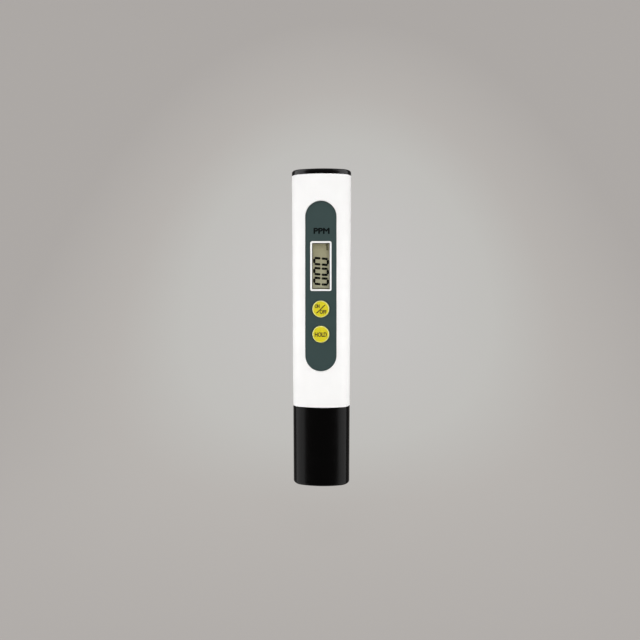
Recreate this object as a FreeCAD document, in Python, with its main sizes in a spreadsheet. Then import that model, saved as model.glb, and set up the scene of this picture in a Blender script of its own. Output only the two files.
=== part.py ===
"""A pocket water tester: an oval pen with a display, two keys, a battery drawer and a pull-off cap.

The pen stands upright on its cap. Z runs up the pen, X runs to the reader's right, and the
front face looks along -Y. The origin is the middle of the cap's flat foot. Lengths are in
millimetres, and a length called forward is measured from the pen's mid-plane towards the reader.
"""

import FreeCAD, Part
import math
import os
import re
import Sketcher

Vector = FreeCAD.Vector
Constraint = Sketcher.Constraint

SIZES = {
    # outer form: one oval that narrows evenly from the top to the foot
    "overall_height": 150.0,
    "top_width": 28.65,
    "top_depth": 15.0,
    "corner_radius": 6.2,
    "narrowing": 0.0645,
    # protective cap
    "cap_height": 37.1,
    "cap_wall": 1.2,
    "cap_floor": 1.8,
    "cap_foot_round": 1.3,
    "cap_mouth_chamfer": 0.3,
    "cap_seam": 0.2,
    "cap_clearance": 0.2,
    # housing tube
    "housing_wall": 1.8,
    "housing_mouth_chamfer": 0.3,
    # front panel, laid in a flat recess of the housing
    "panel_width": 14.7,
    "panel_foot_share": 0.682,
    "panel_above": 30.75,
    "panel_thickness": 0.7,
    "panel_set_back": 0.88,
    "panel_gap": 0.08,
    "panel_edge": 0.12,
    "bed_thickness": 1.2,
    "bed_margin": 1.0,
    # display window with its raised rim
    "display_drop": 17.85,
    "rim_width": 10.0,
    "rim_height": 23.45,
    "rim_round": 0.95,
    "rim_line": 0.8,
    "rim_rise": 0.15,
    "rim_gap": 0.08,
    "window_round": 0.25,
    "lens_thickness": 0.85,
    "lens_lap": 0.6,
    "lens_gap": 0.03,
    # liquid crystal cell, its reflector, its rubber connectors and its carrier
    "glass_width": 13.0,
    "glass_height": 25.0,
    "glass_thickness": 0.9,
    "glass_gap": 0.1,
    "glass_step": 1.8,
    "reflector_thickness": 0.2,
    "connector_width": 1.4,
    "connector_length": 23.0,
    "connector_gap": 0.05,
    "carrier_wall": 0.95,
    "carrier_gap": 0.05,
    "carrier_end_wall": 1.2,
    # circuit board, held between two pairs of rails
    "board_front": 0.5,
    "board_thickness": 1.0,
    "board_side_gap": 1.6,
    "board_gap": 1.6,
    "board_foot_gap": 3.7,
    "board_notch": 2.0,
    "rail_grip": 0.8,
    "rail_thickness": 1.0,
    "rail_gap": 0.06,
    "rail_sink": 0.7,
    # two keys and the switches under them
    "button_drop": 20.25,
    "button_pitch": 11.9,
    "button_diameter": 7.9,
    "button_rise": 0.8,
    "button_edge": 0.45,
    "button_clearance": 0.15,
    "flange_diameter": 9.2,
    "flange_thickness": 0.6,
    "flange_clearance": 0.25,
    "flange_gap": 0.05,
    "switch_size": 6.0,
    "switch_height": 2.6,
    "switch_cover": 0.2,
    "switch_corner": 0.5,
    "plunger_diameter": 3.2,
    "plunger_clearance": 0.12,
    "plunger_depth": 1.2,
    "well_floor": 0.5,
    # calibration trimmer on the back of the board, and the sleeve that leads a screwdriver to it
    "trimmer_above": 12.0,
    "trimmer_size": 3.6,
    "trimmer_height": 1.4,
    "rotor_diameter": 2.4,
    "rotor_thickness": 0.5,
    "rotor_stem": 1.2,
    "rotor_stem_length": 1.0,
    "rotor_clearance": 0.05,
    "rotor_slot": 0.45,
    "rotor_slot_length": 1.9,
    "rotor_slot_depth": 0.3,
    "sleeve_bore": 2.8,
    "sleeve_wall": 0.9,
    "sleeve_gap": 0.45,
    # chips on the back of the board
    "blob_diameter": 9.0,
    "blob_height": 1.3,
    "chip_length": 5.0,
    "chip_width": 3.9,
    "chip_height": 1.5,
    "chip_leg": 0.42,
    "chip_leg_pitch": 1.27,
    "chip_leg_reach": 1.0,
    "chip_leg_height": 0.7,
    "passive_length": 1.6,
    "passive_width": 0.8,
    "passive_height": 0.5,
    "passive_pitch": 2.2,
    "passive_stand_off": 2.4,
    "capacitor_height": 0.8,
    # battery drawer with two button cells in a row
    "lid_height": 2.5,
    "lid_seam": 0.1,
    "lid_edge_round": 1.1,
    "spigot_height": 6.0,
    "spigot_wall": 1.1,
    "spigot_clearance": 0.12,
    "cell_diameter": 11.6,
    "cell_thickness": 5.4,
    "cell_rim": 0.35,
    "cell_lid_diameter": 9.6,
    "cell_lid_rise": 0.3,
    "cell_gasket": 0.35,
    "cell_gasket_depth": 1.8,
    "cell_clearance": 0.15,
    "cell_seat_gap": 0.1,
    "cell_bridge": 0.8,
    "cell_drop": 6.4,
    "tray_width": 14.0,
    "tray_thickness": 6.0,
    "tray_end": 0.85,
    "tray_waist": 9.0,
    "tray_waist_depth": 0.7,
    "tray_lip": 0.5,
    "tray_fin": 0.8,
    "fin_gap": 0.15,
    # battery contacts, bent from spring strip
    "strip_width": 2.6,
    "strip_thickness": 0.25,
    "strip_lane": 2.6,
    "strip_bed_gap": 0.62,
    "strip_dimple": 2.0,
    "strip_dimple_gap": 0.15,
    "strip_tab": 1.6,
    "strip_gap": 0.03,
    # electrode holder
    "plug_height": 9.0,
    "plug_clearance": 0.12,
    "plug_wall": 1.4,
    "collar_height": 11.3,
    "bead_width": 4.0,
    "bead_height": 0.9,
    "bead_rise": 0.12,
    "bead_drop": 3.0,
    "guard_inset": 0.8,
    "guard_wall": 1.0,
    "guard_foot": 10.0,
    "diaphragm": 2.5,
    "guard_slot_width": 9.0,
    "guard_slot_height": 11.0,
    "seal_drop": 3.0,
    "seal_height": 1.8,
    "seal_depth": 1.0,
    "seal_gap": 0.02,
    # electrodes and temperature probe
    "electrode_diameter": 1.8,
    "electrode_spacing": 7.2,
    "electrode_recess": 3.5,
    "electrode_tail": 4.0,
    "electrode_fit": 0.02,
    "probe_nib_diameter": 3.4,
    "probe_nib_length": 6.5,
    "thermistor_diameter": 2.2,
    "thermistor_length": 4.5,
    "thermistor_clearance": 0.1,
    # leads inside the pen
    "lead_diameter": 1.0,
    "thin_lead_diameter": 0.6,
    "thin_lead_spacing": 1.3,
    "lead_overlap": 4.5,
    "lead_rise": 1.5,
    "lead_gap": 0.03,
}

doc = FreeCAD.newDocument("WaterTester")
sheet = doc.addObject("Spreadsheet::Sheet", "Sizes")
parts = []


def fill_sheet():
    """Writes every driving dimension into the sheet, under its own name."""
    for row, (name, size) in enumerate(SIZES.items(), 1):
        sheet.set(f"A{row}", name)
        sheet.set(f"B{row}", str(size))
        sheet.setAlias(f"B{row}", name)
    doc.recompute()


def bound(expression):
    """The expression with each driving dimension read from the sheet."""
    return re.sub(
        r"[a-z_]+", lambda word: "Sizes." * (word.group() in SIZES) + word.group(), expression
    )


def value(expression):
    """The number that an expression comes to now."""
    return float(sheet.evalExpression(bound(expression)))


# Heights up the pen
HOUSING_FOOT = "(cap_height + cap_seam)"
HOUSING_HEAD = "(overall_height - lid_height - lid_seam)"
UPPER_CELL = f"({HOUSING_HEAD} - cell_drop)"
LOWER_CELL = f"({UPPER_CELL} - cell_diameter - cell_bridge)"
TRAY_FOOT = f"({LOWER_CELL} - cell_diameter / 2 - cell_clearance - tray_end)"
BOARD_HEAD = f"({TRAY_FOOT} - board_gap)"
STRIP_CROSSING = f"({BOARD_HEAD} + strip_gap + strip_thickness / 2)"
DISPLAY = f"({TRAY_FOOT} - display_drop)"
UPPER_BUTTON = f"({DISPLAY} - button_drop)"
LOWER_BUTTON = f"({UPPER_BUTTON} - button_pitch)"
PANEL_HEAD = f"({DISPLAY} + panel_above)"
PLUG_HEAD = f"({HOUSING_FOOT} + plug_height)"
PANEL_FOOT = f"({LOWER_BUTTON} - panel_foot_share * ({LOWER_BUTTON} - {PLUG_HEAD}))"
PANEL_CENTRE = f"(({PANEL_HEAD} + {PANEL_FOOT}) / 2)"
PANEL_HEIGHT = f"({PANEL_HEAD} - {PANEL_FOOT})"
BOARD_FOOT = f"({PLUG_HEAD} + board_foot_gap)"
TRIMMER = f"({BOARD_FOOT} + trimmer_above)"
COLLAR_FOOT = f"({HOUSING_FOOT} - collar_height)"
DIAPHRAGM_TOP = f"({COLLAR_FOOT} + diaphragm)"
SEAL_FOOT = f"({PLUG_HEAD} - seal_drop - seal_height)"
ELECTRODE_TIP = "(guard_foot + electrode_recess)"
ELECTRODE_TOP = f"({DIAPHRAGM_TOP} + electrode_tail)"


def taper(height):
    """The share of its top size that the outer oval has at a height."""
    return f"(1 - narrowing * (1 - {height} / overall_height))"


# Distances forward of the mid-plane
PANEL_FACE = f"(top_depth / 2 * {taper(PANEL_FOOT)} - panel_set_back)"
RECESS_FLOOR = f"({PANEL_FACE} - panel_thickness)"
BED_BACK = f"({RECESS_FLOOR} - bed_thickness)"
RIM_FACE = f"({PANEL_FACE} + rim_rise)"
GLASS_FRONT = f"({BED_BACK} - glass_gap)"
GLASS_MIDDLE = f"({GLASS_FRONT} - glass_thickness)"
GLASS_BACK = f"({GLASS_MIDDLE} - glass_thickness)"
BOARD_BACK = "(board_front - board_thickness)"
BUTTON_FACE = f"({PANEL_FACE} + button_rise)"
FLANGE_FRONT = f"({RECESS_FLOOR} - flange_gap)"
FLANGE_BACK = f"({FLANGE_FRONT} - flange_thickness)"
SWITCH_TOP = "(board_front + switch_height)"
COVER_TOP = f"({SWITCH_TOP} + switch_cover)"
STRIP_STAND_OFF = f"({BED_BACK} - strip_bed_gap - strip_thickness / 2)"
ROTOR_FACE = f"({BOARD_BACK} - trimmer_height - rotor_clearance - rotor_thickness)"
CELL_FACE = "(cell_thickness / 2)"
CAN_BACK = "(cell_lid_rise - cell_thickness / 2)"
WINDOW_WIDTH = "(rim_width - 2 * rim_line)"
WINDOW_HEIGHT = "(rim_height - 2 * rim_line)"
BOARD_WIDTH = f"(top_width * {taper(BOARD_FOOT)} - 2 * housing_wall - 2 * board_side_gap)"


def new_body(name):
    """One moulded, cut or bent piece, which is also one exported node."""
    body = doc.addObject("PartDesign::Body", name)
    body.Label = name
    parts.append(body)
    return body


def new_sketch(body, name, role, x="0", y="0", z="0"):
    """A sketch on one of the body's own planes, moved along the plane's own axes.

    On XZ_Plane those axes are right, up and forward, and on YZ_Plane back, up and right.
    """
    sketch = body.newObject("Sketcher::SketchObject", f"{body.Name}_{name}")
    plane = next(item for item in body.Origin.OriginFeatures if item.Role == role)
    sketch.AttachmentSupport = (plane, [""])
    sketch.MapMode = "FlatFace"
    for axis, offset in zip("xyz", (x, y, z)):
        if offset != "0":
            sketch.setExpression(f"AttachmentOffset.Base.{axis}", bound(offset))
    return sketch


def bind(sketch, kind, *where, to):
    """Adds a constraint whose size is an expression of the sheet."""
    index = sketch.addConstraint(Constraint(kind, *where, value(to)))
    sketch.setExpression(f"Constraints[{index}]", bound(to))


def arc(x, y, radius, start, end):
    circle = Part.Circle(Vector(x, y, 0), Vector(0, 0, 1), radius)
    return Part.ArcOfCircle(circle, start, end)


def draw_circle(sketch, diameter):
    index = sketch.addGeometry(Part.Circle(Vector(), Vector(0, 0, 1), value(diameter) / 2))
    sketch.addConstraint(Constraint("Coincident", index, 3, -1, 1))
    bind(sketch, "Diameter", index, to=diameter)


def draw_rectangle(sketch, width, height):
    """A rectangle about the sketch's own origin."""
    across, up = value(width) / 2, value(height) / 2
    corners = [Vector(-across, -up), Vector(across, -up), Vector(across, up), Vector(-across, up)]
    first = sketch.GeometryCount
    for side in range(4):
        sketch.addGeometry(Part.LineSegment(corners[side], corners[(side + 1) % 4]))
    for side in range(4):
        sketch.addConstraint(Constraint("Coincident", first + side, 2, first + (side + 1) % 4, 1))
        sketch.addConstraint(Constraint(("Horizontal", "Vertical")[side % 2], first + side))
    sketch.addConstraint(Constraint("Symmetric", first, 1, first + 2, 1, -1, 1))
    bind(sketch, "DistanceX", first, 1, first, 2, to=width)
    bind(sketch, "DistanceY", first + 1, 1, first + 1, 2, to=height)


def draw_rounded_rectangle(sketch, width, height, radius):
    """A rectangle with round corners about the sketch's own origin."""
    r = value(radius)
    across, up = value(width) / 2 - r, value(height) / 2 - r
    quarter = math.pi / 2
    first = sketch.GeometryCount
    centres = [(across, -up), (across, up), (-across, up), (-across, -up)]
    for turn, (x, y) in enumerate(centres):
        start = (turn - 1) * quarter
        corner = arc(x, y, r, start, start + quarter)
        after = centres[(turn + 1) % 4]
        reach = Vector(math.cos(start + quarter), math.sin(start + quarter)) * r
        sketch.addGeometry(corner)
        sketch.addGeometry(Part.LineSegment(Vector(x, y) + reach, Vector(*after) + reach))
    for turn in range(4):
        bend, side, following = first + 2 * turn, first + 2 * turn + 1, first + (2 * turn + 2) % 8
        sketch.addConstraint(Constraint("Tangent", bend, 2, side, 1))
        sketch.addConstraint(Constraint("Tangent", side, 2, following, 1))
        sketch.addConstraint(Constraint(("Vertical", "Horizontal")[turn % 2], side))
    for turn in range(1, 4):
        sketch.addConstraint(Constraint("Equal", first, first + 2 * turn))
    sketch.addConstraint(Constraint("Symmetric", first, 3, first + 4, 3, -1, 1))
    bind(sketch, "Radius", first, to=radius)
    bind(sketch, "DistanceX", first + 4, 3, first, 3, to=f"{width} - 2 * {radius}")
    bind(sketch, "DistanceY", first, 3, first + 2, 3, to=f"{height} - 2 * {radius}")


def draw_stadium(sketch, width, height):
    """An upright slot with round ends about the sketch's own origin."""
    r = value(width) / 2
    up = value(height) / 2 - r
    first = sketch.GeometryCount
    sketch.addGeometry(arc(0, up, r, 0, math.pi))
    sketch.addGeometry(Part.LineSegment(Vector(-r, up), Vector(-r, -up)))
    sketch.addGeometry(arc(0, -up, r, math.pi, 2 * math.pi))
    sketch.addGeometry(Part.LineSegment(Vector(r, -up), Vector(r, up)))
    for item in range(4):
        sketch.addConstraint(Constraint("Tangent", first + item, 2, first + (item + 1) % 4, 1))
    sketch.addConstraint(Constraint("Vertical", first + 1))
    sketch.addConstraint(Constraint("Equal", first, first + 2))
    sketch.addConstraint(Constraint("Symmetric", first, 3, first + 2, 3, -1, 1))
    bind(sketch, "Radius", first, to=f"{width} / 2")
    bind(sketch, "DistanceY", first + 2, 3, first, 3, to=f"{height} - {width}")


def draw_oval(sketch, width, depth, corner):
    """Two round ends joined by two crowned faces, all tangent, about the sketch's own origin."""
    r = value(corner)
    end = f"({width} / 2 - {corner})"
    crown = f"(({end} ^ 2 + ({depth} / 2) ^ 2 - {corner} ^ 2) / ({depth} - 2 * {corner}))"
    big, across = value(crown), value(end)
    back = big - value(depth) / 2
    turn = math.atan2(back, across)
    first = sketch.GeometryCount
    sketch.addGeometry(arc(across, 0, r, -turn, turn))
    sketch.addGeometry(arc(0, -back, big, turn, math.pi - turn))
    sketch.addGeometry(arc(-across, 0, r, math.pi - turn, math.pi + turn))
    sketch.addGeometry(arc(0, back, big, math.pi + turn, 2 * math.pi - turn))
    right, rear, left, front = range(first, first + 4)
    sketch.addConstraint(Constraint("Tangent", right, 2, rear, 1))
    sketch.addConstraint(Constraint("Coincident", rear, 2, left, 1))
    sketch.addConstraint(Constraint("Coincident", left, 2, front, 1))
    sketch.addConstraint(Constraint("Coincident", front, 2, right, 1))
    sketch.addConstraint(Constraint("Symmetric", front, 1, front, 2, -2))
    sketch.addConstraint(Constraint("Symmetric", right, 1, right, 2, -1))
    sketch.addConstraint(Constraint("Symmetric", left, 1, left, 2, -1))
    sketch.addConstraint(Constraint("Equal", right, left))
    sketch.addConstraint(Constraint("Equal", rear, front))
    bind(sketch, "Radius", right, to=corner)
    bind(sketch, "Radius", rear, to=crown)
    bind(sketch, "DistanceX", left, 3, right, 3, to=f"2 * {end}")


def draw_section(sketch, height, inset="0"):
    """The pen's outer oval at a height, moved inwards by a wall."""
    share = taper(height)
    draw_oval(
        sketch,
        f"(top_width * {share} - 2 * ({inset}))",
        f"(top_depth * {share} - 2 * ({inset}))",
        f"(corner_radius * {share} - ({inset}))",
    )


def draw_outline(sketch, points, closed=True):
    """Straight lines through points, each an expression pair along the sketch's two axes."""
    first = sketch.GeometryCount
    spots = [Vector(value(x), value(y)) for x, y in points]
    count = len(spots) if closed else len(spots) - 1
    for side in range(count):
        sketch.addGeometry(Part.LineSegment(spots[side], spots[(side + 1) % len(spots)]))
    for side in range(count if closed else count - 1):
        sketch.addConstraint(Constraint("Coincident", first + side, 2, first + (side + 1) % count, 1))
    for side, (x, y) in enumerate(points):
        line, end = (first + side, 1) if side < count else (first + side - 1, 2)
        bind(sketch, "DistanceX", -1, 1, line, end, to=x)
        bind(sketch, "DistanceY", -1, 1, line, end, to=y)


def pad(body, sketch, length, backwards=False):
    feature = body.newObject("PartDesign::Pad", f"{sketch.Name}_pad")
    feature.Profile = sketch
    feature.Reversed = backwards
    feature.setExpression("Length", bound(length))
    sketch.Visibility = False
    return feature


def pocket(body, sketch, length=None, forwards=False, both=False):
    """Cuts against the sketch's normal, or along it when forwards, to a depth or right through."""
    feature = body.newObject("PartDesign::Pocket", f"{sketch.Name}_pocket")
    feature.Profile = sketch
    feature.Reversed = forwards
    if both:
        feature.SideType = "Symmetric"
    if length is None:
        feature.Type = "ThroughAll"
    else:
        feature.setExpression("Length", bound(length))
    return feature


def loft(body, lower, upper, cut=False):
    kind = "PartDesign::SubtractiveLoft" if cut else "PartDesign::AdditiveLoft"
    feature = body.newObject(kind, f"{lower.Name}_loft")
    feature.Profile = lower
    feature.Sections = [upper]
    feature.Ruled = True
    return feature


def revolve(body, sketch):
    """Turns a profile about the sketch's own upright axis."""
    feature = body.newObject("PartDesign::Revolution", f"{sketch.Name}_turned")
    feature.Profile = sketch
    feature.ReferenceAxis = (sketch, ["V_Axis"])
    feature.Angle = 360
    return feature


def mirror(body, features, role="YZ_Plane"):
    plane = next(item for item in body.Origin.OriginFeatures if item.Role == role)
    feature = body.newObject("PartDesign::Mirrored", f"{features[0].Name}_mirrored")
    feature.Originals = features
    feature.MirrorPlane = (plane, [""])
    body.Tip = feature
    return feature


def edges_where(feature, chosen):
    """The names of a feature's edges that a test picks."""
    doc.recompute()
    return [f"Edge{n}" for n, edge in enumerate(feature.Shape.Edges, 1) if chosen(edge)]


def level_edges(feature, height):
    """The names of the edges that lie flat at a height."""
    level = value(height)
    return edges_where(
        feature,
        lambda edge: abs(edge.BoundBox.ZMin - level) < 0.001 and abs(edge.BoundBox.ZMax - level) < 0.001,
    )


def mouth_edges(feature, height):
    """The names of the inner edges of the flat ring in which a tube ends at a height."""
    doc.recompute()
    level = value(height)
    inner = []
    for face in feature.Shape.Faces:
        if abs(face.BoundBox.ZMin - level) < 0.001 and abs(face.BoundBox.ZMax - level) < 0.001:
            inner += [e for wire in face.Wires if not wire.isSame(face.OuterWire) for e in wire.Edges]
    return edges_where(feature, lambda edge: any(edge.isSame(other) for other in inner))


def forward_edges(feature, distance):
    """The names of the edges that lie in one plane, a distance forward of the mid-plane."""
    level = -value(distance)
    return edges_where(
        feature,
        lambda edge: abs(edge.BoundBox.YMin - level) < 0.001 and abs(edge.BoundBox.YMax - level) < 0.001,
    )


def round_edges(body, feature, edges, radius):
    fillet = body.newObject("PartDesign::Fillet", f"{feature.Name}_round")
    fillet.Base = (feature, edges)
    fillet.setExpression("Radius", bound(radius))
    return fillet


def bevel_edges(body, feature, edges, size):
    chamfer = body.newObject("PartDesign::Chamfer", f"{feature.Name}_bevel")
    chamfer.Base = (feature, edges)
    chamfer.setExpression("Size", bound(size))
    return chamfer


def box(name, x, forward, z, width, depth, height):
    """A plain box: its middle across, its front, its middle up, and its three sizes."""
    item = doc.addObject("Part::Box", name)
    item.Label = name
    item.setExpression("Length", bound(width))
    item.setExpression("Width", bound(depth))
    item.setExpression("Height", bound(height))
    item.setExpression("Placement.Base.x", bound(f"{x} - ({width}) / 2"))
    item.setExpression("Placement.Base.y", bound(f"-({forward})"))
    item.setExpression("Placement.Base.z", bound(f"{z} - ({height}) / 2"))
    return item


def block(*sizes):
    """A plain box that is a part by itself."""
    parts.append(box(*sizes))


def protective_cap():
    """The black cap: a tapered oval cup with a flat foot that the pen stands on."""
    body = new_body("protective_cap")
    foot = new_sketch(body, "foot", "XY_Plane")
    draw_section(foot, "0")
    mouth = new_sketch(body, "mouth", "XY_Plane", z="cap_height")
    draw_section(mouth, "cap_height")
    loft(body, foot, mouth)
    floor = new_sketch(body, "floor", "XY_Plane", z="cap_floor")
    draw_section(floor, "cap_floor", "cap_wall")
    opening = new_sketch(body, "opening", "XY_Plane", z="cap_height")
    draw_section(opening, "cap_height", "cap_wall")
    hollow = loft(body, floor, opening, cut=True)
    hollow = bevel_edges(body, hollow, mouth_edges(hollow, "cap_height"), "cap_mouth_chamfer")
    round_edges(body, hollow, level_edges(hollow, "0"), "cap_foot_round")


def housing():
    """The white tube, with the flat bed for the panel, the display's rim, and the rails inside."""
    body = new_body("housing")
    foot = new_sketch(body, "foot", "XY_Plane", z=HOUSING_FOOT)
    draw_section(foot, HOUSING_FOOT)
    head = new_sketch(body, "head", "XY_Plane", z=HOUSING_HEAD)
    draw_section(head, HOUSING_HEAD)
    loft(body, foot, head)
    lower = new_sketch(body, "bore_foot", "XY_Plane", z=HOUSING_FOOT)
    draw_section(lower, HOUSING_FOOT, "housing_wall")
    upper = new_sketch(body, "bore_head", "XY_Plane", z=HOUSING_HEAD)
    draw_section(upper, HOUSING_HEAD, "housing_wall")
    bore = loft(body, lower, upper, cut=True)
    for level in (HOUSING_FOOT, HOUSING_HEAD):
        bore = bevel_edges(body, bore, mouth_edges(bore, level), "housing_mouth_chamfer")
    panel_bed(body)
    board_rails(body)
    screwdriver_sleeve(body)


def panel_bed(body):
    """A flat bed inside the front wall, the panel's recess, the window with its rim, the key holes."""
    bed = new_sketch(body, "bed", "XZ_Plane", y=PANEL_CENTRE, z=BED_BACK)
    draw_stadium(bed, "(panel_width + 2 * bed_margin)", f"({PANEL_HEIGHT} + 2 * bed_margin)")
    pad(body, bed, "bed_thickness")
    recess = new_sketch(body, "recess", "XZ_Plane", y=PANEL_CENTRE, z=RECESS_FLOOR)
    draw_stadium(recess, "(panel_width + 2 * panel_gap)", f"({PANEL_HEIGHT} + 2 * panel_gap)")
    pocket(body, recess, forwards=True)
    rim = new_sketch(body, "rim", "XZ_Plane", y=DISPLAY, z=RECESS_FLOOR)
    draw_rounded_rectangle(rim, "rim_width", "rim_height", "rim_round")
    pad(body, rim, f"{RIM_FACE} - {RECESS_FLOOR}")
    window = new_sketch(body, "window", "XZ_Plane", y=DISPLAY, z=RIM_FACE)
    draw_rounded_rectangle(window, WINDOW_WIDTH, WINDOW_HEIGHT, "window_round")
    pocket(body, window, f"{RIM_FACE} - {BED_BACK} + glass_gap")
    seat = new_sketch(body, "lens_seat", "XZ_Plane", y=DISPLAY, z=BED_BACK)
    draw_rectangle(
        seat,
        f"({WINDOW_WIDTH} + 2 * lens_lap + 2 * lens_gap)",
        f"({WINDOW_HEIGHT} + 2 * lens_lap + 2 * lens_gap)",
    )
    pocket(body, seat, "lens_thickness + lens_gap", forwards=True)
    for name, height in (("upper_key_hole", UPPER_BUTTON), ("lower_key_hole", LOWER_BUTTON)):
        hole = new_sketch(body, name, "XZ_Plane", y=height, z=RECESS_FLOOR)
        draw_circle(hole, "(flange_diameter + 2 * flange_clearance)")
        pocket(body, hole, "2 * bed_thickness")


def board_rails(body):
    """Two pairs of upright rails that hold the board's long edges and guide the battery drawer."""
    inner = f"({BOARD_WIDTH} / 2 - rail_grip)"
    outer = f"(top_width * {taper(BOARD_FOOT)} / 2 - housing_wall + rail_sink)"
    start = f"({BOARD_FOOT} - board_foot_gap / 2)"
    length = f"({HOUSING_HEAD} - spigot_height - board_gap - {start})"
    middle = f"({inner} + {outer}) / 2"
    rails = []
    for name, centre in (
        ("front_rail", "(board_front + rail_gap + rail_thickness / 2)"),
        ("back_rail", f"({BOARD_BACK} - rail_gap - rail_thickness / 2)"),
    ):
        rail = new_sketch(body, name, "XY_Plane", x=middle, y=f"-{centre}", z=start)
        draw_rectangle(rail, f"({outer} - {inner})", "rail_thickness")
        rails.append(pad(body, rail, length))
    mirror(body, rails)


def screwdriver_sleeve(body):
    """The hole in the back wall that leads a screwdriver to the calibration trimmer."""
    mouth = f"(-{ROTOR_FACE} + sleeve_gap)"
    reach = f"(top_depth / 2 * {taper(TRIMMER)} - housing_wall / 2)"
    sleeve = new_sketch(body, "sleeve", "XZ_Plane", y=TRIMMER, z=f"-{mouth}")
    draw_circle(sleeve, "(sleeve_bore + 2 * sleeve_wall)")
    pad(body, sleeve, f"{reach} - {mouth}", backwards=True)
    bore = new_sketch(body, "sleeve_bore", "XZ_Plane", y=TRIMMER, z=f"-{mouth}")
    draw_circle(bore, "sleeve_bore")
    pocket(body, bore)


def face_panel():
    """The grey front panel, cut out for the display's rim and the two keys."""
    body = new_body("face_panel")
    outline = new_sketch(body, "outline", "XZ_Plane", y=PANEL_CENTRE, z=RECESS_FLOOR)
    draw_stadium(outline, "panel_width", PANEL_HEIGHT)
    plate = pad(body, outline, "panel_thickness")
    bevel_edges(body, plate, forward_edges(plate, PANEL_FACE), "panel_edge")
    window = new_sketch(body, "window", "XZ_Plane", y=DISPLAY, z=PANEL_FACE)
    draw_rounded_rectangle(
        window, "(rim_width + 2 * rim_gap)", "(rim_height + 2 * rim_gap)", "(rim_round + rim_gap)"
    )
    pocket(body, window)
    for name, height in (("upper_hole", UPPER_BUTTON), ("lower_hole", LOWER_BUTTON)):
        hole = new_sketch(body, name, "XZ_Plane", y=height, z=PANEL_FACE)
        draw_circle(hole, "(button_diameter + 2 * button_clearance)")
        pocket(body, hole)


def display_lens():
    """The clear window, glued from behind against the edge of the rim's opening."""
    body = new_body("display_lens")
    outline = new_sketch(body, "outline", "XZ_Plane", y=DISPLAY, z=BED_BACK)
    draw_rectangle(
        outline, f"({WINDOW_WIDTH} + 2 * lens_lap)", f"({WINDOW_HEIGHT} + 2 * lens_lap)"
    )
    pad(body, outline, "lens_thickness")


def display_cell():
    """The liquid crystal cell: two glasses, the wide one in front, and the reflector behind."""
    block("lcd_front_glass", "0", GLASS_FRONT, DISPLAY, "glass_width", "glass_thickness", "glass_height")
    narrow = "(glass_width - 2 * glass_step)"
    block("lcd_back_glass", "0", GLASS_MIDDLE, DISPLAY, narrow, "glass_thickness", "glass_height")
    block("lcd_reflector", "0", GLASS_BACK, DISPLAY, narrow, "reflector_thickness", "glass_height")


def rubber_connectors():
    """The two striped rubber bars that join the front glass's edges to the board."""
    offset = "(glass_width / 2 - connector_gap - connector_width / 2)"
    front = f"({GLASS_MIDDLE} - connector_gap)"
    depth = f"({front} - board_front - connector_gap)"
    for name, side in (("left_rubber_connector", "-1"), ("right_rubber_connector", "1")):
        block(name, f"{side} * {offset}", front, DISPLAY, "connector_width", depth, "connector_length")


def display_carrier():
    """The white frame that holds the display cell square on the board."""
    body = new_body("display_carrier")
    depth = f"({GLASS_FRONT} - board_front - connector_gap)"
    start = "(board_front + connector_gap)"
    outline = new_sketch(body, "outline", "XZ_Plane", y=DISPLAY, z=start)
    draw_rectangle(
        outline, "(glass_width + 2 * carrier_wall)", "(glass_height + 2 * carrier_end_wall)"
    )
    pad(body, outline, depth)
    hollow = new_sketch(body, "hollow", "XZ_Plane", y=DISPLAY, z=start)
    draw_rectangle(hollow, "(glass_width + 2 * carrier_gap)", "(glass_height + 2 * carrier_gap)")
    pocket(body, hollow, forwards=True)
    for name, side in (("head_notch", "1"), ("foot_notch", "-1")):
        notch = new_sketch(
            body, name, "XZ_Plane", y=f"{DISPLAY} + {side} * glass_height / 2", z=GLASS_BACK
        )
        draw_rectangle(notch, "(glass_width / 2)", "(4 * carrier_end_wall)")
        pocket(body, notch, f"{GLASS_BACK} - board_front - 2 * connector_gap - carrier_wall")


def circuit_board():
    """The board, with its foot notched around the electrode leads."""
    body = new_body("circuit_board")
    middle = f"(({BOARD_HEAD} + {BOARD_FOOT}) / 2)"
    outline = new_sketch(body, "outline", "XZ_Plane", y=middle, z=BOARD_BACK)
    draw_rectangle(outline, BOARD_WIDTH, f"({BOARD_HEAD} - {BOARD_FOOT})")
    plate = pad(body, outline, "board_thickness")
    for name, side in (("left_notch", "-1"), ("right_notch", "1")):
        notch = new_sketch(
            body, name, "XZ_Plane", x=f"{side} * {BOARD_WIDTH} / 2", y=BOARD_HEAD, z="board_front"
        )
        draw_rectangle(notch, "(2 * board_notch)", "(2 * board_notch)")
        pocket(body, notch)


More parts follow.
